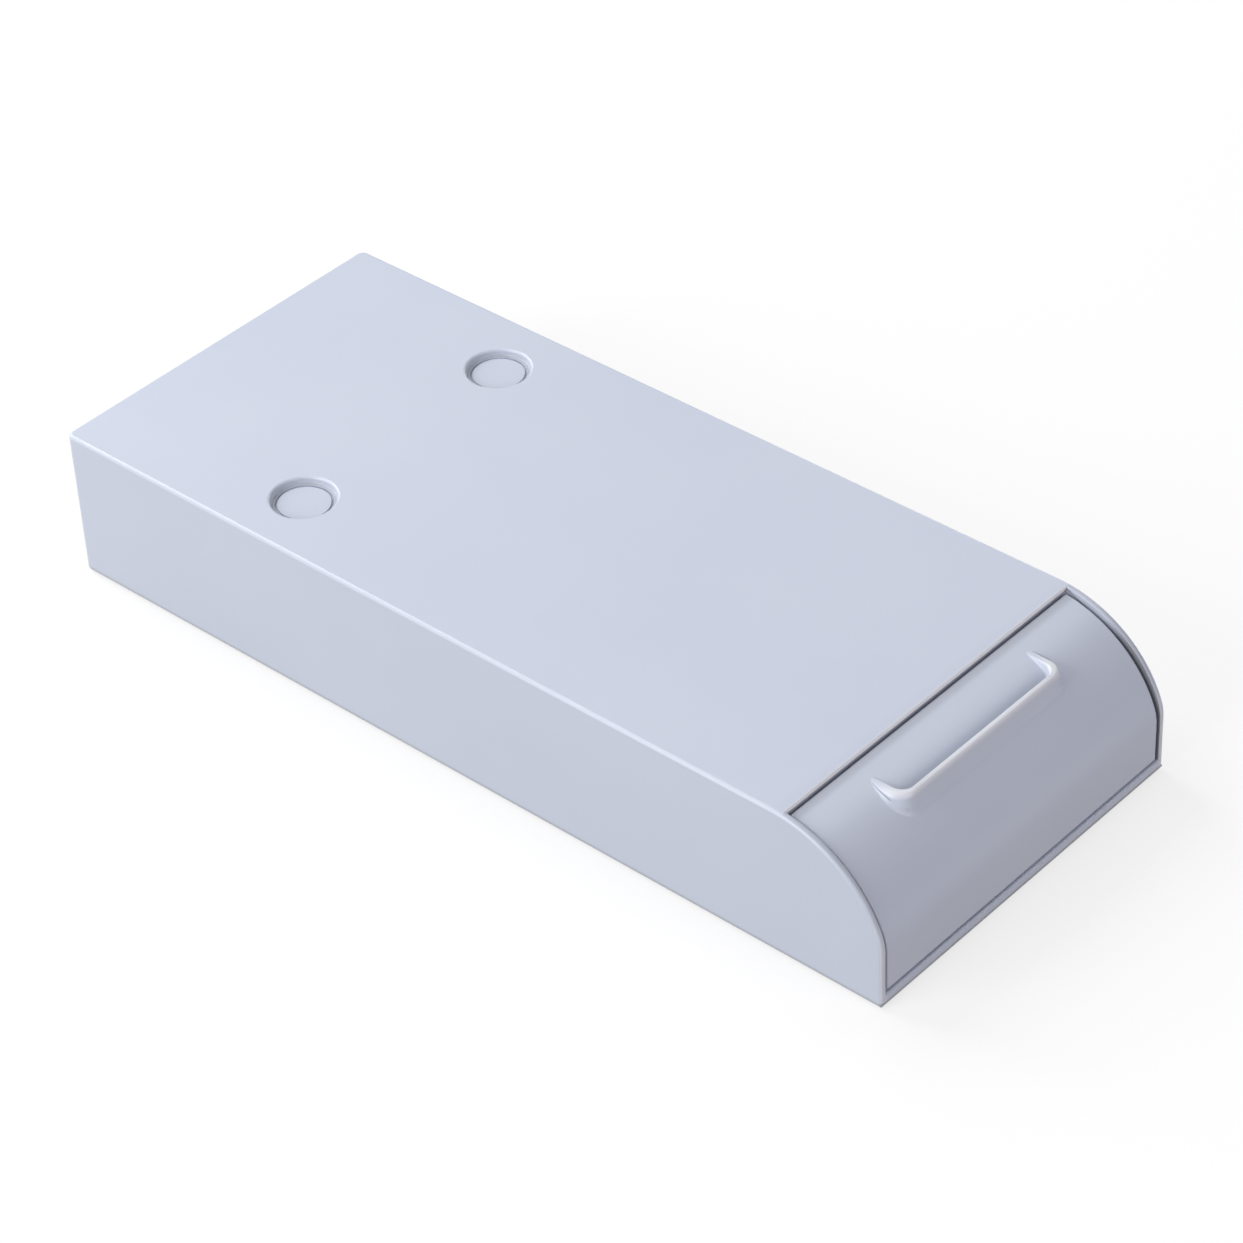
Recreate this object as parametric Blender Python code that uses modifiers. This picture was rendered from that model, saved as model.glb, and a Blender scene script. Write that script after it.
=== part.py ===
"""Slim under-desk drawer: a one-piece moulded sleeve and the one-piece drawer that slides in it.

Lengths are in metres. X runs across the width, -Y is the front, +Z is up, and the origin is the
centre of the footprint. The object lies on the face that goes against the desk, upside down, so
the drawer's open side faces -Z. The drawer pulls out towards -Y.
"""
import math

import bmesh
import bpy
from mathutils import Matrix

# Sleeve
CASE_WIDTH = 0.088
CASE_LENGTH = 0.215
CASE_HEIGHT = 0.035
SIDE_WALL = 0.0015
REAR_WALL = 0.0015
MOUNT_PLATE = 0.003
COVER_PLATE = 0.0024
REAR_CORNER_RADIUS = 0.0018
BOTTOM_EDGE_RADIUS = 0.0013
TOP_EDGE_RADIUS = 0.0008
COVER_EDGE_RADIUS = 0.0006

# Curved front that the sleeve's side walls and the drawer share: an arc that comes down from
# the top, cut off by the upright front, with a softer arc where the two meet
FRONT_RADIUS = 0.027
FRONT_CUT = 0.001
NOSE_RADIUS = 0.012
COVER_LEAD = 0.0027

# Round wells moulded into the cover plate, each with a fine ring round its flat bottom
WELL_SPACING = 0.0578
WELL_FROM_REAR = 0.0545
WELL_RIM_DIAMETER = 0.0149
WELL_DIAMETER = 0.0123
WELL_DEPTH = 0.0013
RING_WIDTH = 0.0005
RING_DEPTH = 0.0004

# Drawer, whose front has the sleeve's curve set a little back and down
FRONT_SETBACK = 0.0003
FRONT_DROP = 0.0009
SIDE_CLEARANCE = 0.0006
REAR_CLEARANCE = 0.0008
PLATE_CLEARANCE = 0.0006
COVER_CLEARANCE = 0.0003
DRAWER_WALL = 0.0018
DRAWER_FLOOR = 0.0018
FRONT_SHELL = 0.002
FRONT_EDGE_RADIUS = 0.0004
SHOULDER_RADIUS = 0.0005

# Finger lip moulded on the drawer's curved front: a thin bar between two thicker arms, whose
# rim climbs a little towards the back
LIP_WIDTH = 0.0503
LIP_BAR = 0.0014
LIP_ARM = 0.0021
LIP_SETBACK = 0.0099
LIP_DROP = 0.0023
LIP_CORNER_RADIUS = 0.0038
LIP_INNER_RADIUS = 0.0027
LIP_EDGE_RADIUS = 0.0005
LIP_ROOT = 0.002
LIP_HEIGHT = 0.0062

# How far a cutter runs past a face
OVERRUN = 0.004

# Resolution of rounded shapes
ARC_STEPS = 18
NOSE_STEPS = 4
SHOULDER_STEPS = 3
CORNER_STEPS = 5
EDGE_STEPS = 3
TURN_STEPS = 40

# Edges that meet at less than this angle belong to one smooth surface
SMOOTH_ANGLE = math.radians(25)
FLAT_ANGLE = math.radians(0.2)
RIGHT_ANGLE = math.radians(90)
LIP_RIM_ANGLE = math.radians(1.8)
MERGE_DISTANCE = 0.000001
ALONG_SHARE = 0.9
ACROSS_SHARE = 0.1
ROUND_SHARE = 0.5

# Places worked out from the sizes
FRONT_Y = -CASE_LENGTH / 2
REAR_Y = CASE_LENGTH / 2
ARC_Y = FRONT_Y + FRONT_RADIUS - FRONT_CUT
ARC_Z = CASE_HEIGHT - FRONT_RADIUS
COVER_EDGE_Y = ARC_Y - COVER_LEAD
COVER_UNDERSIDE = CASE_HEIGHT - COVER_PLATE
INNER_WIDTH = CASE_WIDTH - 2 * SIDE_WALL
WELL_Y = REAR_Y - WELL_FROM_REAR
WELL_BOTTOM = CASE_HEIGHT - WELL_DEPTH
DRAWER_WIDTH = INNER_WIDTH - 2 * SIDE_CLEARANCE
DRAWER_FRONT_Y = FRONT_Y + FRONT_SETBACK
DRAWER_ARC_Y = ARC_Y + FRONT_SETBACK
DRAWER_ARC_Z = ARC_Z - FRONT_DROP
SHOULDER_Y = COVER_EDGE_Y - COVER_CLEARANCE
DRAWER_EDGE_Z = MOUNT_PLATE + PLATE_CLEARANCE
DRAWER_REAR_Y = REAR_Y - REAR_WALL - REAR_CLEARANCE
DRAWER_FLOOR_Z = COVER_UNDERSIDE - PLATE_CLEARANCE
TRAY_WIDTH = DRAWER_WIDTH - 2 * DRAWER_WALL
TRAY_REAR_Y = DRAWER_REAR_Y - DRAWER_WALL
TRAY_FLOOR_Z = DRAWER_FLOOR_Z - DRAWER_FLOOR
LIP_RIM_Z = CASE_HEIGHT - LIP_DROP
LIP_FRONT_Y = FRONT_Y + LIP_SETBACK

PLASTIC_COLOUR = (0.578, 0.624, 0.730, 1)
PLASTIC_ROUGHNESS = 0.42


def clear_scene():
    for old in list(bpy.data.objects):
        bpy.data.objects.remove(old)


def make_collection(name):
    collection = bpy.data.collections.new(name)
    bpy.context.scene.collection.children.link(collection)
    return collection


def make_plastic(name):
    material = bpy.data.materials.new(name)
    material.use_nodes = True
    shader = material.node_tree.nodes["Principled BSDF"]
    shader.inputs["Base Color"].default_value = PLASTIC_COLOUR
    shader.inputs["Roughness"].default_value = PLASTIC_ROUGHNESS
    shader.inputs["Metallic"].default_value = 0
    return material


def mesh_object(name, mesh, collection):
    made = bpy.data.objects.new(name, mesh)
    collection.objects.link(made)
    return made


def prism(name, outline, thickness, matrix, collection):
    """A flat outline, extruded by half its thickness either side of its plane."""
    curve = bpy.data.curves.new(name, "CURVE")
    curve.dimensions = "2D"
    curve.fill_mode = "BOTH"
    curve.extrude = thickness / 2
    spline = curve.splines.new("POLY")
    spline.points.add(len(outline) - 1)
    for point, (across, up) in zip(spline.points, outline):
        point.co = (across, up, 0, 1)
    spline.use_cyclic_u = True
    guide = mesh_object(name, curve, collection)
    graph = bpy.context.evaluated_depsgraph_get()
    mesh = bpy.data.meshes.new_from_object(guide.evaluated_get(graph))
    bpy.data.objects.remove(guide)
    shape = bmesh.new()
    shape.from_mesh(mesh)
    bmesh.ops.remove_doubles(shape, verts=shape.verts, dist=MERGE_DISTANCE)
    bmesh.ops.dissolve_limit(shape, angle_limit=FLAT_ANGLE, verts=shape.verts, edges=shape.edges)
    shape.transform(matrix)
    bmesh.ops.recalc_face_normals(shape, faces=shape.faces)
    if shape.calc_volume(signed=True) < 0:
        bmesh.ops.reverse_faces(shape, faces=shape.faces)
    shape.to_mesh(mesh)
    shape.free()
    return mesh_object(name, mesh, collection)


def across_width():
    """Turns an outline drawn in (Y, Z) so that its thickness runs along X."""
    return Matrix(((0, 0, 1, 0), (1, 0, 0, 0), (0, 1, 0, 0), (0, 0, 0, 1)))


def turned(name, profile, centre_x, centre_y, collection):
    """A profile of (radius, height) points, turned about an upright axis."""
    mesh = bpy.data.meshes.new(name)
    points = [(radius, 0, height) for radius, height in profile]
    mesh.from_pydata(points, [(k, k + 1) for k in range(len(points) - 1)], [])
    shape = mesh_object(name, mesh, collection)
    screw = shape.modifiers.new("turn", "SCREW")
    screw.steps = TURN_STEPS
    screw.render_steps = TURN_STEPS
    screw.use_merge_vertices = True
    screw.merge_threshold = MERGE_DISTANCE
    shape.location = (centre_x, centre_y, 0)
    return shape


def shaped_by(target, tool, operation):
    """Adds a Boolean that cuts the tool from the target, or joins it on."""
    step = target.modifiers.new(tool.name, "BOOLEAN")
    step.operation = operation
    step.solver = "EXACT"
    step.object = tool
    tool.hide_render = True
    tool.display_type = "WIRE"


def round_edges(target, picks, radius):
    """Rounds the creases that picks says yes to, given their middle and direction."""
    shape = bmesh.new()
    shape.from_mesh(target.data)
    chosen = []
    for edge in shape.edges:
        if edge.calc_face_angle(0) < SMOOTH_ANGLE:
            continue
        start, end = (vertex.co for vertex in edge.verts)
        if picks((start + end) / 2, (end - start).normalized()):
            chosen.append(edge)
    bmesh.ops.bevel(shape, geom=chosen, offset=radius, segments=EDGE_STEPS,
                    profile=ROUND_SHARE, affect="EDGES")
    shape.to_mesh(target.data)
    shape.free()


def finish(part, material):
    """Gives a part its material and smooth shading on its rounded faces."""
    part.data.materials.clear()
    part.data.materials.append(material)
    part.data.shade_smooth()
    part.data.set_sharp_from_angle(angle=SMOOTH_ANGLE)


def arc(centre_y, centre_z, radius, start, end, steps):
    """Points from one angle to another, measured up from the -Y direction."""
    angles = [start + (end - start) * k / steps for k in range(steps + 1)]
    return [(centre_y - radius * math.cos(a), centre_z + radius * math.sin(a)) for a in angles]


def front_curve(arc_y, arc_z, inset, end_angle):
    """A curved front round this centre, drawn this far inside, from its nose to end_angle."""
    nose_reach = FRONT_RADIUS - NOSE_RADIUS
    nose_back = nose_reach - FRONT_CUT
    nose_rise = math.sqrt(nose_reach ** 2 - nose_back ** 2)
    meet = math.atan2(nose_rise, nose_back)
    nose = arc(arc_y - nose_back, arc_z + nose_rise, NOSE_RADIUS - inset, 0, meet, NOSE_STEPS)
    return nose + arc(arc_y, arc_z, FRONT_RADIUS - inset, meet, end_angle, ARC_STEPS)[1:]


def case_outline():
    curve = front_curve(ARC_Y, ARC_Z, 0, RIGHT_ANGLE)
    return [(FRONT_Y, 0)] + curve + [(REAR_Y, CASE_HEIGHT), (REAR_Y, 0)]


def case_hollow_outline():
    """Room for the drawer, open at the front and, in front of the cover plate, open upwards."""
    front = FRONT_Y - OVERRUN
    rear = REAR_Y - REAR_WALL
    above = CASE_HEIGHT + OVERRUN
    rounded = arc(COVER_EDGE_Y + COVER_EDGE_RADIUS, CASE_HEIGHT - COVER_EDGE_RADIUS,
                  COVER_EDGE_RADIUS, 0, RIGHT_ANGLE, EDGE_STEPS)
    return [(front, MOUNT_PLATE), (rear, MOUNT_PLATE), (rear, COVER_UNDERSIDE),
            (COVER_EDGE_Y, COVER_UNDERSIDE)] + rounded + [
                (COVER_EDGE_Y + COVER_EDGE_RADIUS, above), (front, above)]


def well_profile():
    """A round well with a rolled rim, and the ring groove round its flat bottom."""
    outer = WELL_RIM_DIAMETER / 2
    inner = WELL_DIAMETER / 2
    bend = [RIGHT_ANGLE * k / CORNER_STEPS for k in range(CORNER_STEPS + 1)]
    roll = [(outer - (outer - inner) * math.sin(a), CASE_HEIGHT - WELL_DEPTH * (1 - math.cos(a)))
            for a in bend]
    ring_bottom = WELL_BOTTOM - RING_DEPTH
    return [(0, CASE_HEIGHT + OVERRUN), (outer, CASE_HEIGHT + OVERRUN)] + roll + [
        (inner, ring_bottom), (inner - RING_WIDTH, ring_bottom),
        (inner - RING_WIDTH, WELL_BOTTOM), (0, WELL_BOTTOM)]


def drawer_outline():
    """The drawer from the side: upright front, curve, shoulder, step down to the floor, rear."""
    lead = DRAWER_ARC_Y - SHOULDER_Y + SHOULDER_RADIUS
    rise = math.sqrt((FRONT_RADIUS - SHOULDER_RADIUS) ** 2 - lead ** 2)
    shoulder = math.atan2(rise, lead)
    curve = front_curve(DRAWER_ARC_Y, DRAWER_ARC_Z, 0, shoulder)
    roll = arc(DRAWER_ARC_Y - lead, DRAWER_ARC_Z + rise, SHOULDER_RADIUS,
               shoulder, 2 * RIGHT_ANGLE, SHOULDER_STEPS)
    return [(DRAWER_FRONT_Y, DRAWER_EDGE_Z)] + curve + roll[1:] + [
        (SHOULDER_Y, DRAWER_FLOOR_Z), (DRAWER_REAR_Y, DRAWER_FLOOR_Z),
        (DRAWER_REAR_Y, DRAWER_EDGE_Z)]


def tray_outline():
    """The drawer's inside from the side: it follows the curved front and opens towards -Z."""
    floor = math.asin((TRAY_FLOOR_Z - DRAWER_ARC_Z) / (FRONT_RADIUS - FRONT_SHELL))
    curve = front_curve(DRAWER_ARC_Y, DRAWER_ARC_Z, FRONT_SHELL, floor)
    under = DRAWER_EDGE_Z - OVERRUN
    return [(DRAWER_FRONT_Y + FRONT_SHELL, under)] + curve + [
        (TRAY_REAR_Y, TRAY_FLOOR_Z), (TRAY_REAR_Y, under)]


def lip_outline():
    """The finger lip from above: a bar across the front whose rounded ends turn back."""
    tilt = LIP_RIM_ANGLE
    lift = math.tan(tilt) * (DRAWER_ARC_Y - LIP_FRONT_Y)
    above = (LIP_RIM_Z + lift - DRAWER_ARC_Z) * math.cos(tilt)
    half_chord = math.sqrt(FRONT_RADIUS ** 2 - above ** 2)
    meets_front = DRAWER_ARC_Y - above * math.sin(tilt) - half_chord * math.cos(tilt)
    back = meets_front + LIP_ROOT
    outer = lip_side(LIP_WIDTH / 2, LIP_FRONT_Y, LIP_CORNER_RADIUS, back)
    inner = lip_side(LIP_WIDTH / 2 - LIP_ARM, LIP_FRONT_Y + LIP_BAR, LIP_INNER_RADIUS, back)
    mirrored_outer = [(-x, y) for x, y in reversed(outer)]
    mirrored_inner = [(-x, y) for x, y in inner]
    return outer + mirrored_outer + mirrored_inner + list(reversed(inner))


def lip_side(half_width, front_y, radius, back_y):
    """One outline of the lip's +X half, from its rear end round the corner to the bar."""
    turn = [RIGHT_ANGLE * k / CORNER_STEPS for k in range(CORNER_STEPS + 1)]
    corner = [(half_width - radius + radius * math.cos(a), front_y + radius - radius * math.sin(a))
              for a in turn]
    return [(half_width, back_y)] + corner


def climbing_rim():
    """Lifts the lip by its distance behind the front of its bar, so that its rim climbs."""
    climb = math.tan(LIP_RIM_ANGLE)
    return Matrix(((1, 0, 0, 0), (0, 1, 0, 0), (0, climb, 1, -climb * LIP_FRONT_Y), (0, 0, 0, 1)))


def is_rear_corner(middle, along):
    return abs(along.z) > ALONG_SHARE and middle.y > 0


def is_bottom_edge(middle, along):
    return middle.z < MERGE_DISTANCE


def is_upper_side_edge(middle, along):
    return middle.z > BOTTOM_EDGE_RADIUS


def is_front_side_edge(middle, along):
    return abs(along.x) < ACROSS_SHARE and middle.y < SHOULDER_Y - MERGE_DISTANCE


def is_lip_rim(middle, along):
    return middle.z > LIP_RIM_Z - MERGE_DISTANCE


def make_casing(parts, tools, material):
    casing = prism("casing", case_outline(), CASE_WIDTH, across_width(), parts)
    round_edges(casing, is_rear_corner, REAR_CORNER_RADIUS)
    round_edges(casing, is_bottom_edge, BOTTOM_EDGE_RADIUS)
    round_edges(casing, is_upper_side_edge, TOP_EDGE_RADIUS)
    finish(casing, material)
    hollow = prism("casing_hollow", case_hollow_outline(), INNER_WIDTH, across_width(), tools)
    shaped_by(casing, hollow, "DIFFERENCE")
    for side, sign in (("left", -1), ("right", 1)):
        well = turned("well_" + side, well_profile(), sign * WELL_SPACING / 2, WELL_Y, tools)
        shaped_by(casing, well, "DIFFERENCE")


def make_drawer(parts, tools, material):
    drawer = prism("drawer", drawer_outline(), DRAWER_WIDTH, across_width(), parts)
    round_edges(drawer, is_front_side_edge, FRONT_EDGE_RADIUS)
    finish(drawer, material)
    level = Matrix.Translation((0, 0, LIP_RIM_Z - LIP_HEIGHT / 2))
    lip = prism("finger_lip", lip_outline(), LIP_HEIGHT, level, tools)
    round_edges(lip, is_lip_rim, LIP_EDGE_RADIUS)
    lip.data.transform(climbing_rim())
    shaped_by(drawer, lip, "UNION")
    tray = prism("tray_hollow", tray_outline(), TRAY_WIDTH, across_width(), tools)
    shaped_by(drawer, tray, "DIFFERENCE")


def main():
    clear_scene()
    parts = make_collection("under_desk_drawer")
    tools = make_collection("cutters")
    plastic = make_plastic("moulded_plastic")
    make_casing(parts, tools, plastic)
    make_drawer(parts, tools, plastic)


main()
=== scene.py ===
"""The looks of the under-desk drawer: finer mouldings, their plastic, and a pale studio.

Lengths are in metres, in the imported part's own frame: X runs across the width, -Y is the front
and +Z is up. The object lies on the face that goes against the desk.
"""
import math

import bmesh
import bpy
from mathutils import Matrix, Vector


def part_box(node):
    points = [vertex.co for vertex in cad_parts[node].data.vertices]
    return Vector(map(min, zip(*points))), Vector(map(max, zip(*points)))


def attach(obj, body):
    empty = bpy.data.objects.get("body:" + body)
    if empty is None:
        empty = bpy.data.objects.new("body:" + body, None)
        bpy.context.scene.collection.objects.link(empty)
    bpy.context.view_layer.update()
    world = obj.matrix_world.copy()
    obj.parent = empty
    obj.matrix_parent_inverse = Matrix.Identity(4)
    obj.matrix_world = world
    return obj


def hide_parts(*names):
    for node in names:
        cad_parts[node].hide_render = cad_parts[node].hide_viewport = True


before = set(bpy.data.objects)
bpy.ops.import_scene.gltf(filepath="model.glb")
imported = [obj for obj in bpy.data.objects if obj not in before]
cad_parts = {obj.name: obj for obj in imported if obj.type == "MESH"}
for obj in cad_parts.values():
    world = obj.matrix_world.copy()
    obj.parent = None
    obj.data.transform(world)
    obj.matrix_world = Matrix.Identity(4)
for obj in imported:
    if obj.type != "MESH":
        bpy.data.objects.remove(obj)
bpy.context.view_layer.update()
case_low, case_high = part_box("casing")
drawer_low, drawer_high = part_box("drawer")

# Camera, fitted to the edges of the object in the photograph
CAMERA_PLACE = (-0.475284, -0.452894, 0.526554)
CAMERA_AZIMUTH = math.radians(-46.749)
CAMERA_ELEVATION = math.radians(38.143)
CAMERA_ROLL = math.radians(-2.979)
LENS_MM = 119.67
SENSOR_MM = 36

# Casing
SIDE_WALL = 0.0015
REAR_WALL = 0.0015
MOUNT_PLATE = 0.003
COVER_PLATE = 0.0024
REAR_CORNER_RADIUS = 0.0018
BOTTOM_EDGE_RADIUS = 0.0013
TOP_EDGE_RADIUS = 0.0008
COVER_EDGE_RADIUS = 0.0006
RIM_RADIUS = 0.00045
EDGE_FLAT = 0.0001
UNDERCUT = 0.0004

# Curved front
FRONT_RADIUS = 0.027
FRONT_CUT = 0.001
NOSE_RADIUS = 0.012
COVER_LEAD = 0.0027

# Wells in the cover plate
WELL_SPACING = 0.0578
WELL_FROM_REAR = 0.0545
WELL_RIM_DIAMETER = 0.0149
WELL_EDGE_RADIUS = 0.0006
WELL_DIAMETER = 0.0120
WELL_DEPTH = 0.0014
WELL_LEDGE = 0.0006
RING_WIDTH = 0.0005
RING_DEPTH = 0.0004

# Drawer
DRAWER_WALL = 0.0018
DRAWER_FLOOR = 0.0018
FRONT_SHELL = 0.002
EDGE_RADIUS = 0.0004
SHOULDER_RADIUS = 0.0005
FRONT_DROP = 0.0009
PLATE_CLEARANCE = 0.0006
COVER_CLEARANCE = 0.0003
INSIDE_RADIUS = 0.0012

# Finger lip: a thin bar between two thicker arms
LIP_WIDTH = 0.0503
LIP_BAR = 0.0014
LIP_ARM = 0.0021
LIP_SETBACK = 0.0099
LIP_DROP = 0.0023
LIP_CORNER_RADIUS = 0.0038
LIP_INNER_RADIUS = 0.0027
LIP_RIM_ANGLE = math.radians(1.8)
LIP_OUTER_ROUND_SHARE = 0.66
LIP_INNER_ROUND_SHARE = 0.18
LIP_FLARE = 0.0009
LIP_FLARE_SHARE = 0.5
LIP_DRAFT_SHARE = 0.1
LIP_SINK = 0.0007
LIP_FOOT_SINK = 0.00003
LIP_LEAST_HEIGHT = 0.00015
LIP_ROOT = 0.0016

# Painted highlights, a paler colour where highlights fall: along the lip's rim, on the upright rims
# of the side walls and on the cover plate's edge
LIP_HIGHLIGHT = 0.0014
LIP_HIGHLIGHT_SHARE = 0.55
LIP_HIGHLIGHT_START_Y = -0.0955
LIP_HIGHLIGHT_END_Y = -0.0895
RIM_HIGHLIGHT_TOP = 0.024
RIM_HIGHLIGHT_FADE = 0.012
RIM_HIGHLIGHT_SHARE = 0.35
EDGE_HIGHLIGHT_SHARE = 0.9
MASK_MARGIN = 0.00012

# Painted shade, a darker colour where shade falls: in front of the gap at the cover plate, behind
# the lip's bar, in the wells, along the bottom edge, on the curved rims and inside the mouth
GAP_SHADE = 0.0026
GAP_SHADE_SHARE = 0.2
POCKET_START_Y = -0.0925
POCKET_END_Y = -0.0975
POCKET_SHADE = 0.003
POCKET_DEPTH = 0.0009
POCKET_SHADE_SHARE = 0.3
WELL_SHADE_SHARE = 0.25
BOTTOM_SHADE = 0.0018
BOTTOM_SHADE_SHARP = 0.0006
FRONT_SHADE_SHARE = 0.7
SIDE_SHADE_SHARE = 0.25
RIM_SHADE_LOW = 0.012
RIM_SHADE_HIGH = 0.022
RIM_SHADE_EDGE = 0.0004
RIM_SHADE_SHARE = 0.2
INSIDE_SHADE_FADE = 0.01
INSIDE_SHADE_HIGH = 0.034
INSIDE_SHADE_LOW = 0.027
INSIDE_SHADE_SHARE = 0.75

# Plastic: two tones, a pale tone for painted highlights and a dark tone for painted shade, a satin
# finish, flow marks and a fine grain
DARK_TONE = (0.560, 0.607, 0.716, 1)
LIGHT_TONE = (0.610, 0.655, 0.757, 1)
HIGHLIGHT_TONE = (0.87, 0.87, 0.88, 1)
SHADE_TONE = (0.18, 0.18, 0.19, 1)
PLASTIC_IOR = 1.49
PLASTIC_SPECULAR = 0.5
LEAST_ROUGHNESS = 0.27
MOST_ROUGHNESS = 0.35
TONE_SCALE = 22
TONE_DETAIL = 3
FLOW_SCALE = 60
FLOW_DETAIL = 2
FLOW_STRETCH = (1, 0.16, 1)
GRAIN_SCALE = 2600
GRAIN_DETAIL = 2
GRAIN_STRENGTH = 0.25
GRAIN_HEIGHT = 0.00003
CASING_SEED = 0.0
DRAWER_SEED = 3.7

# Studio: a pale floor, an even world and soft lamps, each with its name, place, size, power in
# watts and colour
WHITE = (1, 1, 1, 1)
FLOOR_SIZE = 8
FLOOR_ROUGHNESS = 0.9
FLOOR_TONE = (0.15, 0.15, 0.15, 1)
FLOOR_SEEN_TONE = (0.30, 0.30, 0.30, 1)
FLOOR_GLOW = 0.70
WORLD_STRENGTH = 0.24
LAMPS = [
    ("back", (0, 0.9, 0.75), (0.8, 0.8), 9.7, (1, 1, 1)),
    ("left", (-1.15, 0.25, 0.5), (0.9, 0.9), 12.4, (1, 1, 1)),
    ("right", (0.62, -0.1, 0.92), (0.35, 0.35), 0.7, (1, 1, 1)),
    ("front", (-0.1, -1.1, 0.45), (0.9, 0.7), 4.5, (1, 0.94, 1)),
    ("side", (1.25, 0.35, 0.3), (0.8, 0.5), 2.9, (1, 1, 1)),
]

# How far a cutter runs past a face, how near counts as touching, and how much of an edge's
# direction must point up for it to count as upright
OVERRUN = 0.004
NEAR = 0.000002
UPRIGHT_SHARE = 0.9

# Resolution
ARC_STEPS = 72
NOSE_STEPS = 12
SHOULDER_STEPS = 6
EDGE_STEPS = 5
RIM_STEPS = 3
DRAWER_EDGE_STEPS = 4
CORNER_STEPS = 14
TURN_STEPS = 96
BAR_STEPS = 12
ARM_STEPS = 22
FLARE_STEPS = 7
ROUND_STEPS = 9
ROUND_PROFILE = 0.5
SMOOTH_ANGLE = math.radians(28)
RIGHT_ANGLE = math.radians(90)

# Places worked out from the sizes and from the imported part
FRONT_Y = case_low.y
REAR_Y = case_high.y
TOP_Z = case_high.z
HALF_WIDTH = case_high.x
ARC_Y = FRONT_Y + FRONT_RADIUS - FRONT_CUT
ARC_Z = TOP_Z - FRONT_RADIUS
COVER_EDGE_Y = ARC_Y - COVER_LEAD
COVER_UNDERSIDE = TOP_Z - COVER_PLATE
INNER_HALF = HALF_WIDTH - SIDE_WALL
WELL_Y = REAR_Y - WELL_FROM_REAR
WELL_BOTTOM = TOP_Z - WELL_DEPTH
DRAWER_FRONT_Y = drawer_low.y
DRAWER_ARC_Y = DRAWER_FRONT_Y + FRONT_RADIUS - FRONT_CUT
DRAWER_ARC_Z = ARC_Z - FRONT_DROP
SHOULDER_Y = COVER_EDGE_Y - COVER_CLEARANCE
DRAWER_HALF = drawer_high.x
DRAWER_FLOOR_Z = COVER_UNDERSIDE - PLATE_CLEARANCE
DRAWER_EDGE_Z = drawer_low.z
DRAWER_REAR_Y = drawer_high.y
TRAY_HALF = DRAWER_HALF - DRAWER_WALL
TRAY_REAR_Y = DRAWER_REAR_Y - DRAWER_WALL
TRAY_FLOOR_Z = DRAWER_FLOOR_Z - DRAWER_FLOOR
LIP_RIM_Z = TOP_Z - LIP_DROP
LIP_FRONT_Y = FRONT_Y + LIP_SETBACK


def arc(centre_y, centre_z, radius, start, end, steps):
    """Points from one angle to another, measured up from the -Y direction."""
    angles = [start + (end - start) * k / steps for k in range(steps + 1)]
    return [(centre_y - radius * math.cos(a), centre_z + radius * math.sin(a)) for a in angles]


def front_curve(arc_y, arc_z, inset, end_angle):
    """A curved front round this centre, drawn this far inside, from its nose to end_angle."""
    nose_reach = FRONT_RADIUS - NOSE_RADIUS
    nose_back = nose_reach - FRONT_CUT
    nose_rise = math.sqrt(nose_reach ** 2 - nose_back ** 2)
    meet = math.atan2(nose_rise, nose_back)
    nose = arc(arc_y - nose_back, arc_z + nose_rise, NOSE_RADIUS - inset, 0, meet, NOSE_STEPS)
    return nose + arc(arc_y, arc_z, FRONT_RADIUS - inset, meet, end_angle, ARC_STEPS)[1:]


def mesh_object(name, shape):
    """Turns a bmesh into an object with its normals pointing out."""
    bmesh.ops.recalc_face_normals(shape, faces=shape.faces)
    if shape.calc_volume(signed=True) < 0:
        bmesh.ops.reverse_faces(shape, faces=shape.faces)
    mesh = bpy.data.meshes.new(name)
    shape.to_mesh(mesh)
    shape.free()
    made = bpy.data.objects.new(name, mesh)
    bpy.context.scene.collection.objects.link(made)
    return made


def profile_solid(name, outline, half_width):
    """A solid whose side view is an outline of (Y, Z) points, the same all across its width."""
    shape = bmesh.new()
    left, right = ([shape.verts.new((x, y, z)) for y, z in outline]
                   for x in (-half_width, half_width))
    shape.faces.new(left)
    shape.faces.new(list(reversed(right)))
    for k in range(len(outline)):
        shape.faces.new((left[k], left[k - 1], right[k - 1], right[k]))
    return mesh_object(name, shape)


def turned_solid(name, profile, centre_x, centre_y):
    """A profile of (radius, height) points that starts and ends on an upright axis, turned."""
    shape = bmesh.new()
    top = shape.verts.new((centre_x, centre_y, profile[0][1]))
    bottom = shape.verts.new((centre_x, centre_y, profile[-1][1]))
    rings = []
    for radius, height in profile[1:-1]:
        angles = [2 * math.pi * k / TURN_STEPS for k in range(TURN_STEPS)]
        rings.append([shape.verts.new((centre_x + radius * math.cos(a),
                                       centre_y + radius * math.sin(a), height))
                      for a in angles])
    for k in range(TURN_STEPS):
        shape.faces.new((top, rings[0][k - 1], rings[0][k]))
        shape.faces.new((bottom, rings[-1][k], rings[-1][k - 1]))
        for above, below in zip(rings, rings[1:]):
            shape.faces.new((above[k - 1], below[k - 1], below[k], above[k]))
    return mesh_object(name, shape)


def combine(target, tool, operation):
    """Cuts the tool from the target, or joins it on, and removes the tool."""
    step = target.modifiers.new(tool.name, "BOOLEAN")
    step.operation = operation
    step.solver = "EXACT"
    step.object = tool
    graph = bpy.context.evaluated_depsgraph_get()
    mesh = bpy.data.meshes.new_from_object(target.evaluated_get(graph))
    target.modifiers.clear()
    target.data = mesh
    bpy.data.objects.remove(tool)


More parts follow.
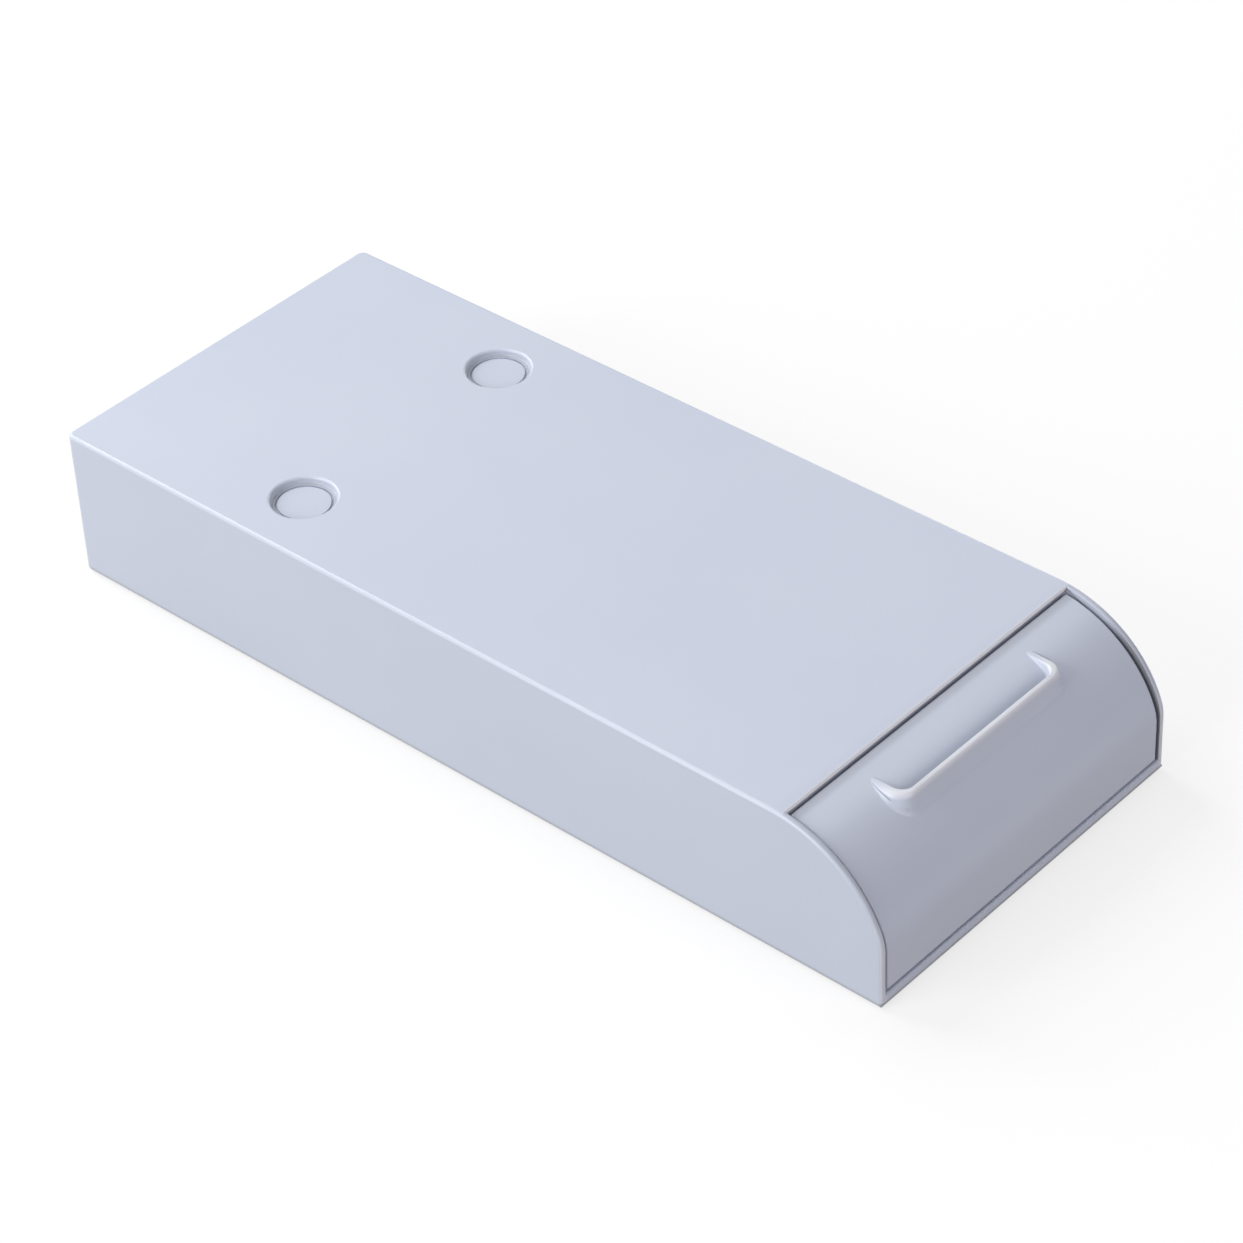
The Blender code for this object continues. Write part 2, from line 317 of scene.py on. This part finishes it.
def round_edges(target, picks, radius, steps=EDGE_STEPS):
    """Rounds the outward creases that picks says yes to, given their middle and direction."""
    shape = bmesh.new()
    shape.from_mesh(target.data)
    chosen = []
    for edge in shape.edges:
        if edge.calc_face_angle(0) < SMOOTH_ANGLE or not edge.is_convex:
            continue
        start, end = (vertex.co for vertex in edge.verts)
        if picks((start + end) / 2, (end - start).normalized()):
            chosen.append(edge)
    bmesh.ops.bevel(shape, geom=chosen, offset=radius, segments=steps,
                    profile=ROUND_PROFILE, affect="EDGES")
    shape.to_mesh(target.data)
    shape.free()


def finish_piece(piece, body, material):
    """Smooth shading that keeps flat faces flat, a material, and the body that it rides on."""
    piece.data.materials.clear()
    piece.data.materials.append(material)
    piece.data.shade_smooth()
    piece.data.set_sharp_from_angle(angle=SMOOTH_ANGLE)
    weighted = piece.modifiers.new("flat_faces_stay_flat", "WEIGHTED_NORMAL")
    weighted.mode = "FACE_AREA"
    weighted.keep_sharp = True
    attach(piece, body)
    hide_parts(body)


def casing_hollow_outline():
    """The space that is cut from the casing, from the side. It also clears all in front of the
    cover plate's edge, which is rounded at the top and cut back a little under that."""
    front = FRONT_Y - OVERRUN
    rear = REAR_Y - REAR_WALL
    above = TOP_Z + OVERRUN
    rounded = arc(COVER_EDGE_Y + COVER_EDGE_RADIUS, TOP_Z - COVER_EDGE_RADIUS,
                  COVER_EDGE_RADIUS, 0, RIGHT_ANGLE, EDGE_STEPS)
    edge_underside = TOP_Z - COVER_EDGE_RADIUS - EDGE_FLAT
    return [(front, MOUNT_PLATE), (rear, MOUNT_PLATE), (rear, COVER_UNDERSIDE),
            (COVER_EDGE_Y + UNDERCUT, COVER_UNDERSIDE),
            (COVER_EDGE_Y + UNDERCUT, edge_underside),
            (COVER_EDGE_Y, edge_underside)] + rounded + [
                (COVER_EDGE_Y + COVER_EDGE_RADIUS, above), (front, above)]


def well_profile():
    """A round well: a soft rolled edge, a steep wall that curves out to a narrow ledge, and the
    ring groove round its flat bottom."""
    outer = WELL_RIM_DIAMETER / 2
    wall = outer - WELL_EDGE_RADIUS
    inner = WELL_DIAMETER / 2
    ledge = inner + WELL_LEDGE
    wall_height = WELL_DEPTH - WELL_EDGE_RADIUS
    bend = [RIGHT_ANGLE * k / CORNER_STEPS for k in range(CORNER_STEPS + 1)]
    edge = [(outer - WELL_EDGE_RADIUS * math.sin(a), TOP_Z - WELL_EDGE_RADIUS * (1 - math.cos(a)))
            for a in bend]
    bowl = [(wall - (wall - ledge) * (1 - math.cos(a)),
             TOP_Z - WELL_EDGE_RADIUS - wall_height * math.sin(a)) for a in bend]
    ring_bottom = WELL_BOTTOM - RING_DEPTH
    return [(0, TOP_Z + OVERRUN), (outer, TOP_Z + OVERRUN)] + edge + bowl[1:] + [
        (inner, WELL_BOTTOM), (inner, ring_bottom), (inner - RING_WIDTH, ring_bottom),
        (inner - RING_WIDTH, WELL_BOTTOM), (0, WELL_BOTTOM)]


def make_casing(material):
    curve = front_curve(ARC_Y, ARC_Z, 0, RIGHT_ANGLE)
    outline = [(FRONT_Y, 0)] + curve + [(REAR_Y, TOP_Z), (REAR_Y, 0)]
    casing = profile_solid("casing_shell", outline, HALF_WIDTH)
    round_edges(casing, lambda middle, along: abs(along.z) > UPRIGHT_SHARE and middle.y > 0,
                REAR_CORNER_RADIUS, CORNER_STEPS)
    round_edges(casing, lambda middle, along: middle.z < NEAR, BOTTOM_EDGE_RADIUS)
    round_edges(casing, lambda middle, along: middle.z > BOTTOM_EDGE_RADIUS, TOP_EDGE_RADIUS)
    combine(casing, profile_solid("hollow", casing_hollow_outline(), INNER_HALF), "DIFFERENCE")
    round_edges(casing, is_opening_rim, RIM_RADIUS, RIM_STEPS)
    for sign in (-1, 1):
        well = turned_solid("well", well_profile(), sign * WELL_SPACING / 2, WELL_Y)
        combine(casing, well, "DIFFERENCE")
    finish_piece(casing, "casing", material)


def is_opening_rim(middle, along):
    """The inner edges of the side walls and of the mounting plate round the drawer's front."""
    inside = abs(middle.x) < INNER_HALF + NEAR
    return inside and middle.z > MOUNT_PLATE - NEAR and middle.y < COVER_EDGE_Y - NEAR


def drawer_outline():
    """The drawer from the side: upright front, curve, shoulder, step down to the floor, rear."""
    lead = DRAWER_ARC_Y - SHOULDER_Y + SHOULDER_RADIUS
    rise = math.sqrt((FRONT_RADIUS - SHOULDER_RADIUS) ** 2 - lead ** 2)
    shoulder = math.atan2(rise, lead)
    curve = front_curve(DRAWER_ARC_Y, DRAWER_ARC_Z, 0, shoulder)
    roll = arc(DRAWER_ARC_Y - lead, DRAWER_ARC_Z + rise, SHOULDER_RADIUS,
               shoulder, 2 * RIGHT_ANGLE, SHOULDER_STEPS)
    return [(DRAWER_FRONT_Y, DRAWER_EDGE_Z)] + curve + roll[1:] + [
        (SHOULDER_Y, DRAWER_FLOOR_Z), (DRAWER_REAR_Y, DRAWER_FLOOR_Z),
        (DRAWER_REAR_Y, DRAWER_EDGE_Z)]


def tray_outline():
    """The drawer's inside from the side: it follows the curved front and opens towards -Z."""
    floor = math.asin((TRAY_FLOOR_Z - DRAWER_ARC_Z) / (FRONT_RADIUS - FRONT_SHELL))
    curve = front_curve(DRAWER_ARC_Y, DRAWER_ARC_Z, FRONT_SHELL, floor)
    under = DRAWER_EDGE_Z - OVERRUN
    return [(DRAWER_FRONT_Y + FRONT_SHELL, under)] + curve + [
        (TRAY_REAR_Y, TRAY_FLOOR_Z), (TRAY_REAR_Y, under)]


def front_surface(y):
    """The height of the drawer's curved front at y."""
    return DRAWER_ARC_Z + math.sqrt(FRONT_RADIUS ** 2 - (DRAWER_ARC_Y - y) ** 2)


def lip_rim(y):
    """The height of the lip's rim, which climbs towards the back."""
    return LIP_RIM_Z + math.tan(LIP_RIM_ANGLE) * (y - LIP_FRONT_Y)


def lip_run_out():
    """Where the rim of the lip's arms sinks into the curved front."""
    lift = math.tan(LIP_RIM_ANGLE) * (DRAWER_ARC_Y - LIP_FRONT_Y)
    above = (LIP_RIM_Z + lift - DRAWER_ARC_Z) * math.cos(LIP_RIM_ANGLE)
    half_chord = math.sqrt(FRONT_RADIUS ** 2 - above ** 2)
    return DRAWER_ARC_Y - above * math.sin(LIP_RIM_ANGLE) - half_chord * math.cos(LIP_RIM_ANGLE)


def lip_side(half_width, front_y, radius, back_y):
    """One outline of the lip's +X half, from its rear end round the corner to the bar's
    middle."""
    corner_y = front_y + radius
    arm = [(half_width, back_y + (corner_y - back_y) * k / ARM_STEPS) for k in range(ARM_STEPS)]
    turns = [RIGHT_ANGLE * k / CORNER_STEPS for k in range(CORNER_STEPS + 1)]
    corner = [(half_width - radius + radius * math.cos(turn), corner_y - radius * math.sin(turn))
              for turn in turns]
    bar = [((half_width - radius) * (1 - k / BAR_STEPS), front_y)
           for k in range(1, BAR_STEPS + 1)]
    return arm + corner + bar


def lip_places():
    """Pairs of points on the lip's outer and inner outline, from its right arm to its left,
    with the direction that faces out of the pocket."""
    back = lip_run_out() + LIP_ROOT
    outer = lip_side(LIP_WIDTH / 2, LIP_FRONT_Y, LIP_CORNER_RADIUS, back)
    inner = lip_side(LIP_WIDTH / 2 - LIP_ARM, LIP_FRONT_Y + LIP_BAR, LIP_INNER_RADIUS, back)
    turns = [min(max(k - ARM_STEPS, 0), CORNER_STEPS) for k in range(len(outer))]
    right = []
    for far, near, k in zip(outer, inner, turns):
        turn = RIGHT_ANGLE * k / CORNER_STEPS
        right.append((far, near, (math.cos(turn), -math.sin(turn))))
    left = [((-far[0], far[1]), (-near[0], near[1]), (-out[0], out[1]))
            for far, near, out in reversed(right[:-1])]
    return right + left


def lip_foot(y):
    """The height of the surface that the lip stands on. Behind the place where the lip's rim
    runs out, this stays a little under the rim, inside the drawer's shell."""
    return min(front_surface(y), lip_rim(y) - LIP_LEAST_HEIGHT)


def lip_face(point, out, rounding, draft):
    """One side of a cross-section of the lip, from its foot up to the top of its rim. The foot
    flares out in a quarter round until it runs into the curved front. Where the lip is lower
    than its rounding, only the top of the rounding stands clear of the front."""
    x, y = point
    top = lip_rim(y)
    height = top - lip_foot(y)
    start = math.asin(max(0, 1 - height / rounding))
    clear = rounding * (math.cos(start) - 1)
    flare = min(LIP_FLARE, height * LIP_FLARE_SHARE)
    spread = clear + draft * height
    run = [(spread + flare, -LIP_SINK)]
    for k in range(FLARE_STEPS + 1):
        along = k / FLARE_STEPS
        rise = flare * (1 - math.sqrt(1 - along ** 2)) - LIP_FOOT_SINK * (1 - along)
        run.append((spread + flare * (1 - along), rise))
    placed = []
    for offset, rise in run:
        at_y = y + out[1] * offset
        placed.append((x + out[0] * offset, at_y, lip_foot(at_y) + rise))
    for k in range(ROUND_STEPS + 1):
        turn = start + (RIGHT_ANGLE - start) * k / ROUND_STEPS
        offset = rounding * (math.cos(turn) - 1)
        placed.append((x + out[0] * offset, y + out[1] * offset,
                       top - rounding * (1 - math.sin(turn))))
    return placed


def lip_section(far, near, out):
    """One cross-section of the lip, from its outer foot over the rim to its inner foot."""
    thickness = math.dist(far, near)
    inward = (-out[0], -out[1])
    outer = lip_face(far, out, LIP_OUTER_ROUND_SHARE * thickness, LIP_DRAFT_SHARE)
    inner = lip_face(near, inward, LIP_INNER_ROUND_SHARE * thickness, 0)
    return outer + list(reversed(inner))


def make_lip():
    """The lip as one solid: its cross-sections joined, and closed at both ends."""
    shape = bmesh.new()
    rings = [[shape.verts.new(point) for point in lip_section(*place)] for place in lip_places()]
    count = len(rings[0])
    for ring, after in zip(rings, rings[1:]):
        for k in range(count):
            shape.faces.new((ring[k - 1], ring[k], after[k], after[k - 1]))
    shape.faces.new(rings[0])
    shape.faces.new(list(reversed(rings[-1])))
    return mesh_object("lip", shape)


def make_drawer(material):
    drawer = profile_solid("drawer_moulding", drawer_outline(), DRAWER_HALF)
    round_edges(drawer, lambda middle, along: True, EDGE_RADIUS, DRAWER_EDGE_STEPS)
    combine(drawer, make_lip(), "UNION")
    tray = profile_solid("tray", tray_outline(), TRAY_HALF)
    round_edges(tray, lambda middle, along: middle.z > DRAWER_EDGE_Z - OVERRUN / 2, INSIDE_RADIUS)
    combine(drawer, tray, "DIFFERENCE")
    finish_piece(drawer, "drawer", material)


def calculated(material, operation, first, second):
    """A Math node's result. Each input is a number or another node's output."""
    node = material.node_tree.nodes.new("ShaderNodeMath")
    node.operation = operation
    for socket, value in zip(node.inputs, (first, second)):
        if isinstance(value, (int, float)):
            socket.default_value = value
        else:
            material.node_tree.links.new(value, socket)
    return node.outputs["Value"]


def ramped(material, value, low, high, most):
    """Goes smoothly from 0 to most as the value goes from low to high."""
    node = material.node_tree.nodes.new("ShaderNodeMapRange")
    node.interpolation_type = "SMOOTHSTEP"
    node.inputs["From Min"].default_value = low
    node.inputs["From Max"].default_value = high
    node.inputs["To Max"].default_value = most
    material.node_tree.links.new(value, node.inputs["Value"])
    return node.outputs["Result"]


def separated(material, place):
    """The X, Y and Z of a place."""
    node = material.node_tree.nodes.new("ShaderNodeSeparateXYZ")
    material.node_tree.links.new(place, node.inputs["Vector"])
    return node.outputs["X"], node.outputs["Y"], node.outputs["Z"]


def multiplied(material, *factors):
    """The product of two or more factors."""
    product = factors[0]
    for factor in factors[1:]:
        product = calculated(material, "MULTIPLY", product, factor)
    return product


def distance(material, first, second, middle_first, middle_second):
    """How far two coordinates are from a point in their plane."""
    sides = [calculated(material, "SUBTRACT", first, middle_first),
             calculated(material, "SUBTRACT", second, middle_second)]
    squares = [multiplied(material, side, side) for side in sides]
    return calculated(material, "SQRT", calculated(material, "ADD", *squares), 0)


def painted_lip_highlight(material, place):
    """Painted highlight: the finger lip's colour is paler along its rim."""
    y, z = separated(material, place)[1:]
    climb = calculated(material, "MULTIPLY", y, math.tan(LIP_RIM_ANGLE))
    level = calculated(material, "SUBTRACT", z, climb)
    top = LIP_RIM_Z - LIP_FRONT_Y * math.tan(LIP_RIM_ANGLE)
    reach = distance(material, y, z, DRAWER_ARC_Y, DRAWER_ARC_Z)
    return multiplied(material,
                      calculated(material, "GREATER_THAN", reach, FRONT_RADIUS + MASK_MARGIN),
                      ramped(material, y, LIP_HIGHLIGHT_END_Y, LIP_HIGHLIGHT_START_Y, 1),
                      ramped(material, level, top - LIP_HIGHLIGHT, top, LIP_HIGHLIGHT_SHARE))


def painted_rim_highlights(material, place):
    """Painted highlights: the upright rims of the side walls and the cover plate's edge have a
    paler colour.
    """
    x, y, z = separated(material, place)
    across = calculated(material, "ABSOLUTE", x, 0)
    wall = multiplied(material,
                      calculated(material, "LESS_THAN", across, HALF_WIDTH - MASK_MARGIN),
                      calculated(material, "GREATER_THAN", across, INNER_HALF - MASK_MARGIN),
                      calculated(material, "LESS_THAN", y, COVER_EDGE_Y),
                      ramped(material, z, RIM_HIGHLIGHT_TOP, RIM_HIGHLIGHT_TOP - RIM_HIGHLIGHT_FADE, RIM_HIGHLIGHT_SHARE))
    edge = multiplied(material,
                      calculated(material, "LESS_THAN", across, INNER_HALF),
                      calculated(material, "GREATER_THAN", z, COVER_UNDERSIDE),
                      ramped(material, y, COVER_EDGE_Y + COVER_EDGE_RADIUS, COVER_EDGE_Y,
                             EDGE_HIGHLIGHT_SHARE))
    return calculated(material, "MAXIMUM", wall, edge)


def painted_shade_drawer(material, place):
    """Painted shade: the colour is darker in front of the gap at the cover plate and behind the bar
    of the lip.
    """
    x, y, z = separated(material, place)
    across = calculated(material, "ABSOLUTE", x, 0)
    reach = distance(material, y, z, DRAWER_ARC_Y, DRAWER_ARC_Z)
    above = calculated(material, "GREATER_THAN", z, DRAWER_ARC_Z)
    gap = multiplied(material, above,
                     ramped(material, y, SHOULDER_Y - GAP_SHADE, SHOULDER_Y - GAP_SHADE / 2,
                            GAP_SHADE_SHARE),
                     ramped(material, y, SHOULDER_Y + GAP_SHADE, SHOULDER_Y, 1))
    pocket = multiplied(material, above,
                        calculated(material, "LESS_THAN", reach, FRONT_RADIUS + POCKET_DEPTH),
                        calculated(material, "GREATER_THAN", y, POCKET_END_Y),
                        ramped(material, across, LIP_WIDTH / 2, LIP_WIDTH / 2 - LIP_ARM * 2, 1),
                        ramped(material, y, POCKET_START_Y, POCKET_START_Y - POCKET_SHADE,
                               POCKET_SHADE_SHARE))
    return calculated(material, "MAXIMUM", gap, pocket)


def painted_shade_casing(material, place):
    """Painted shade: the colour is darker in the wells, along the bottom edge, most of all at the
    front, on the curved rims of the side walls and inside the mouth."""
    x, y, z = separated(material, place)
    across = calculated(material, "ABSOLUTE", x, 0)
    reach = distance(material, across, y, WELL_SPACING / 2, WELL_Y)
    well = multiplied(material,
                      calculated(material, "LESS_THAN", reach, WELL_RIM_DIAMETER / 2),
                      ramped(material, z, TOP_Z, TOP_Z - WELL_EDGE_RADIUS, WELL_SHADE_SHARE),
                      ramped(material, reach, WELL_DIAMETER / 2 - RING_WIDTH, WELL_DIAMETER / 2, 1))
    front = ramped(material, y, FRONT_Y + BOTTOM_EDGE_RADIUS, FRONT_Y, FRONT_SHADE_SHARE)
    share = calculated(material, "MAXIMUM", front, SIDE_SHADE_SHARE)
    bottom = multiplied(material, share,
                        ramped(material, z, BOTTOM_SHADE, BOTTOM_SHADE - BOTTOM_SHADE_SHARP, 1))
    rim = multiplied(material,
                     calculated(material, "LESS_THAN", across, HALF_WIDTH - RIM_SHADE_EDGE),
                     calculated(material, "GREATER_THAN", across, INNER_HALF - MASK_MARGIN),
                     calculated(material, "LESS_THAN", y, COVER_EDGE_Y),
                     ramped(material, z, RIM_SHADE_LOW, RIM_SHADE_HIGH, RIM_SHADE_SHARE))
    inside = multiplied(material,
                        calculated(material, "LESS_THAN", across, INNER_HALF + MASK_MARGIN),
                        calculated(material, "GREATER_THAN", across, INNER_HALF - MASK_MARGIN),
                        calculated(material, "GREATER_THAN", z, MOUNT_PLATE + MASK_MARGIN),
                        ramped(material, z, INSIDE_SHADE_HIGH, INSIDE_SHADE_LOW, 1),
                        ramped(material, y, COVER_EDGE_Y + INSIDE_SHADE_FADE, COVER_EDGE_Y,
                               INSIDE_SHADE_SHARE))
    edges = calculated(material, "MAXIMUM", rim, inside)
    return calculated(material, "MAXIMUM", edges, calculated(material, "MAXIMUM", well, bottom))


def plastic(name, seed, highlight_mask, shade_mask):
    """Satin moulded plastic: a fine spark-eroded grain, faint flow marks and slow tone changes.
    Its colour is paler where the painted-highlight mask is above 0 and darker where the
    painted-shade mask is above 0; both masks are functions of the position."""
    material = bpy.data.materials.new(name)
    material.use_nodes = True
    nodes = material.node_tree.nodes
    links = material.node_tree.links
    shader = nodes["Principled BSDF"]
    shader.inputs["IOR"].default_value = PLASTIC_IOR
    shader.inputs["Specular IOR Level"].default_value = PLASTIC_SPECULAR
    place = nodes.new("ShaderNodeTexCoord")
    shift = nodes.new("ShaderNodeMapping")
    shift.inputs["Location"].default_value = (seed, seed, seed)
    links.new(place.outputs["Object"], shift.inputs["Vector"])

    def noise(scale, detail, stretch=(1, 1, 1)):
        squeeze = nodes.new("ShaderNodeMapping")
        squeeze.inputs["Scale"].default_value = stretch
        links.new(shift.outputs["Vector"], squeeze.inputs["Vector"])
        texture = nodes.new("ShaderNodeTexNoise")
        texture.inputs["Scale"].default_value = scale
        texture.inputs["Detail"].default_value = detail
        links.new(squeeze.outputs["Vector"], texture.inputs["Vector"])
        return texture.outputs["Fac"]

    def remap(value, low, high):
        mapped = nodes.new("ShaderNodeMapRange")
        mapped.inputs["To Min"].default_value = low
        mapped.inputs["To Max"].default_value = high
        links.new(value, mapped.inputs["Value"])
        return mapped.outputs["Result"]

    slow = noise(TONE_SCALE, TONE_DETAIL)
    flow = noise(FLOW_SCALE, FLOW_DETAIL, FLOW_STRETCH)
    grain = noise(GRAIN_SCALE, GRAIN_DETAIL)
    tones = nodes.new("ShaderNodeMix")
    tones.data_type = "RGBA"
    tones.inputs["A"].default_value = DARK_TONE
    tones.inputs["B"].default_value = LIGHT_TONE
    links.new(slow, tones.inputs["Factor"])
    # Painted highlight: the colour is mixed towards a pale tone
    paler = nodes.new("ShaderNodeMix")
    paler.data_type = "RGBA"
    paler.inputs["B"].default_value = HIGHLIGHT_TONE
    links.new(tones.outputs["Result"], paler.inputs["A"])
    links.new(highlight_mask(material, place.outputs["Object"]), paler.inputs["Factor"])
    # Painted shade: the colour is mixed towards a dark tone
    darker = nodes.new("ShaderNodeMix")
    darker.data_type = "RGBA"
    darker.inputs["B"].default_value = SHADE_TONE
    links.new(paler.outputs["Result"], darker.inputs["A"])
    links.new(shade_mask(material, place.outputs["Object"]), darker.inputs["Factor"])
    links.new(darker.outputs["Result"], shader.inputs["Base Color"])
    links.new(remap(flow, LEAST_ROUGHNESS, MOST_ROUGHNESS), shader.inputs["Roughness"])
    bump = nodes.new("ShaderNodeBump")
    bump.inputs["Strength"].default_value = GRAIN_STRENGTH
    bump.inputs["Distance"].default_value = GRAIN_HEIGHT
    links.new(grain, bump.inputs["Height"])
    links.new(bump.outputs["Normal"], shader.inputs["Normal"])
    return material


def make_camera():
    data = bpy.data.cameras.new("camera")
    data.sensor_width = SENSOR_MM
    data.lens = LENS_MM
    camera = bpy.data.objects.new("camera", data)
    bpy.context.scene.collection.objects.link(camera)
    turn = (Matrix.Rotation(CAMERA_AZIMUTH, 4, "Z")
            @ Matrix.Rotation(RIGHT_ANGLE - CAMERA_ELEVATION, 4, "X")
            @ Matrix.Rotation(CAMERA_ROLL, 4, "Z"))
    camera.matrix_world = Matrix.Translation(CAMERA_PLACE) @ turn
    bpy.context.scene.camera = camera


def make_floor():
    """A pale floor that takes the object's shadow. Where it is seen or mirrored it also glows,
    so that it comes out nearly white without more light on the object."""
    bpy.ops.mesh.primitive_plane_add(size=FLOOR_SIZE, location=(0, 0, 0))
    floor = bpy.context.object
    floor.name = "floor"
    material = bpy.data.materials.new("pale_floor")
    material.use_nodes = True
    nodes = material.node_tree.nodes
    links = material.node_tree.links
    shader = nodes["Principled BSDF"]
    shader.inputs["Roughness"].default_value = FLOOR_ROUGHNESS
    shader.inputs["Specular IOR Level"].default_value = 0
    path = nodes.new("ShaderNodeLightPath")
    seen = path.outputs["Is Camera Ray"]
    for kind in ("Is Glossy Ray", "Is Transmission Ray"):
        seen = calculated(material, "MAXIMUM", seen, path.outputs[kind])
    tones = nodes.new("ShaderNodeMix")
    tones.data_type = "RGBA"
    tones.inputs["A"].default_value = FLOOR_TONE
    tones.inputs["B"].default_value = FLOOR_SEEN_TONE
    links.new(seen, tones.inputs["Factor"])
    links.new(tones.outputs["Result"], shader.inputs["Base Color"])
    shader.inputs["Emission Color"].default_value = WHITE
    glow = calculated(material, "MULTIPLY", seen, FLOOR_GLOW)
    links.new(glow, shader.inputs["Emission Strength"])
    floor.data.materials.append(material)


def make_lamp(name, place, size, power, colour):
    """A soft rectangular lamp that points at the object."""
    data = bpy.data.lights.new(name, "AREA")
    data.shape = "RECTANGLE"
    data.size, data.size_y = size
    data.energy = power
    data.color = colour
    lamp = bpy.data.objects.new(name, data)
    lamp.location = place
    lamp.rotation_euler = (-Vector(place)).to_track_quat("-Z", "Y").to_euler()
    bpy.context.scene.collection.objects.link(lamp)


def make_world():
    world = bpy.data.worlds.new("studio")
    bpy.context.scene.world = world
    world.use_nodes = True
    background = world.node_tree.nodes["Background"]
    background.inputs["Color"].default_value = WHITE
    background.inputs["Strength"].default_value = WORLD_STRENGTH


make_camera()
make_world()
make_floor()
for lamp_values in LAMPS:
    make_lamp(*lamp_values)
# Both plastics carry painted highlights and painted shade in their colour
make_casing(plastic("casing_plastic", CASING_SEED, painted_rim_highlights, painted_shade_casing))
make_drawer(plastic("drawer_plastic", DRAWER_SEED, painted_lip_highlight, painted_shade_drawer))
bpy.context.scene.view_settings.view_transform = "Standard"
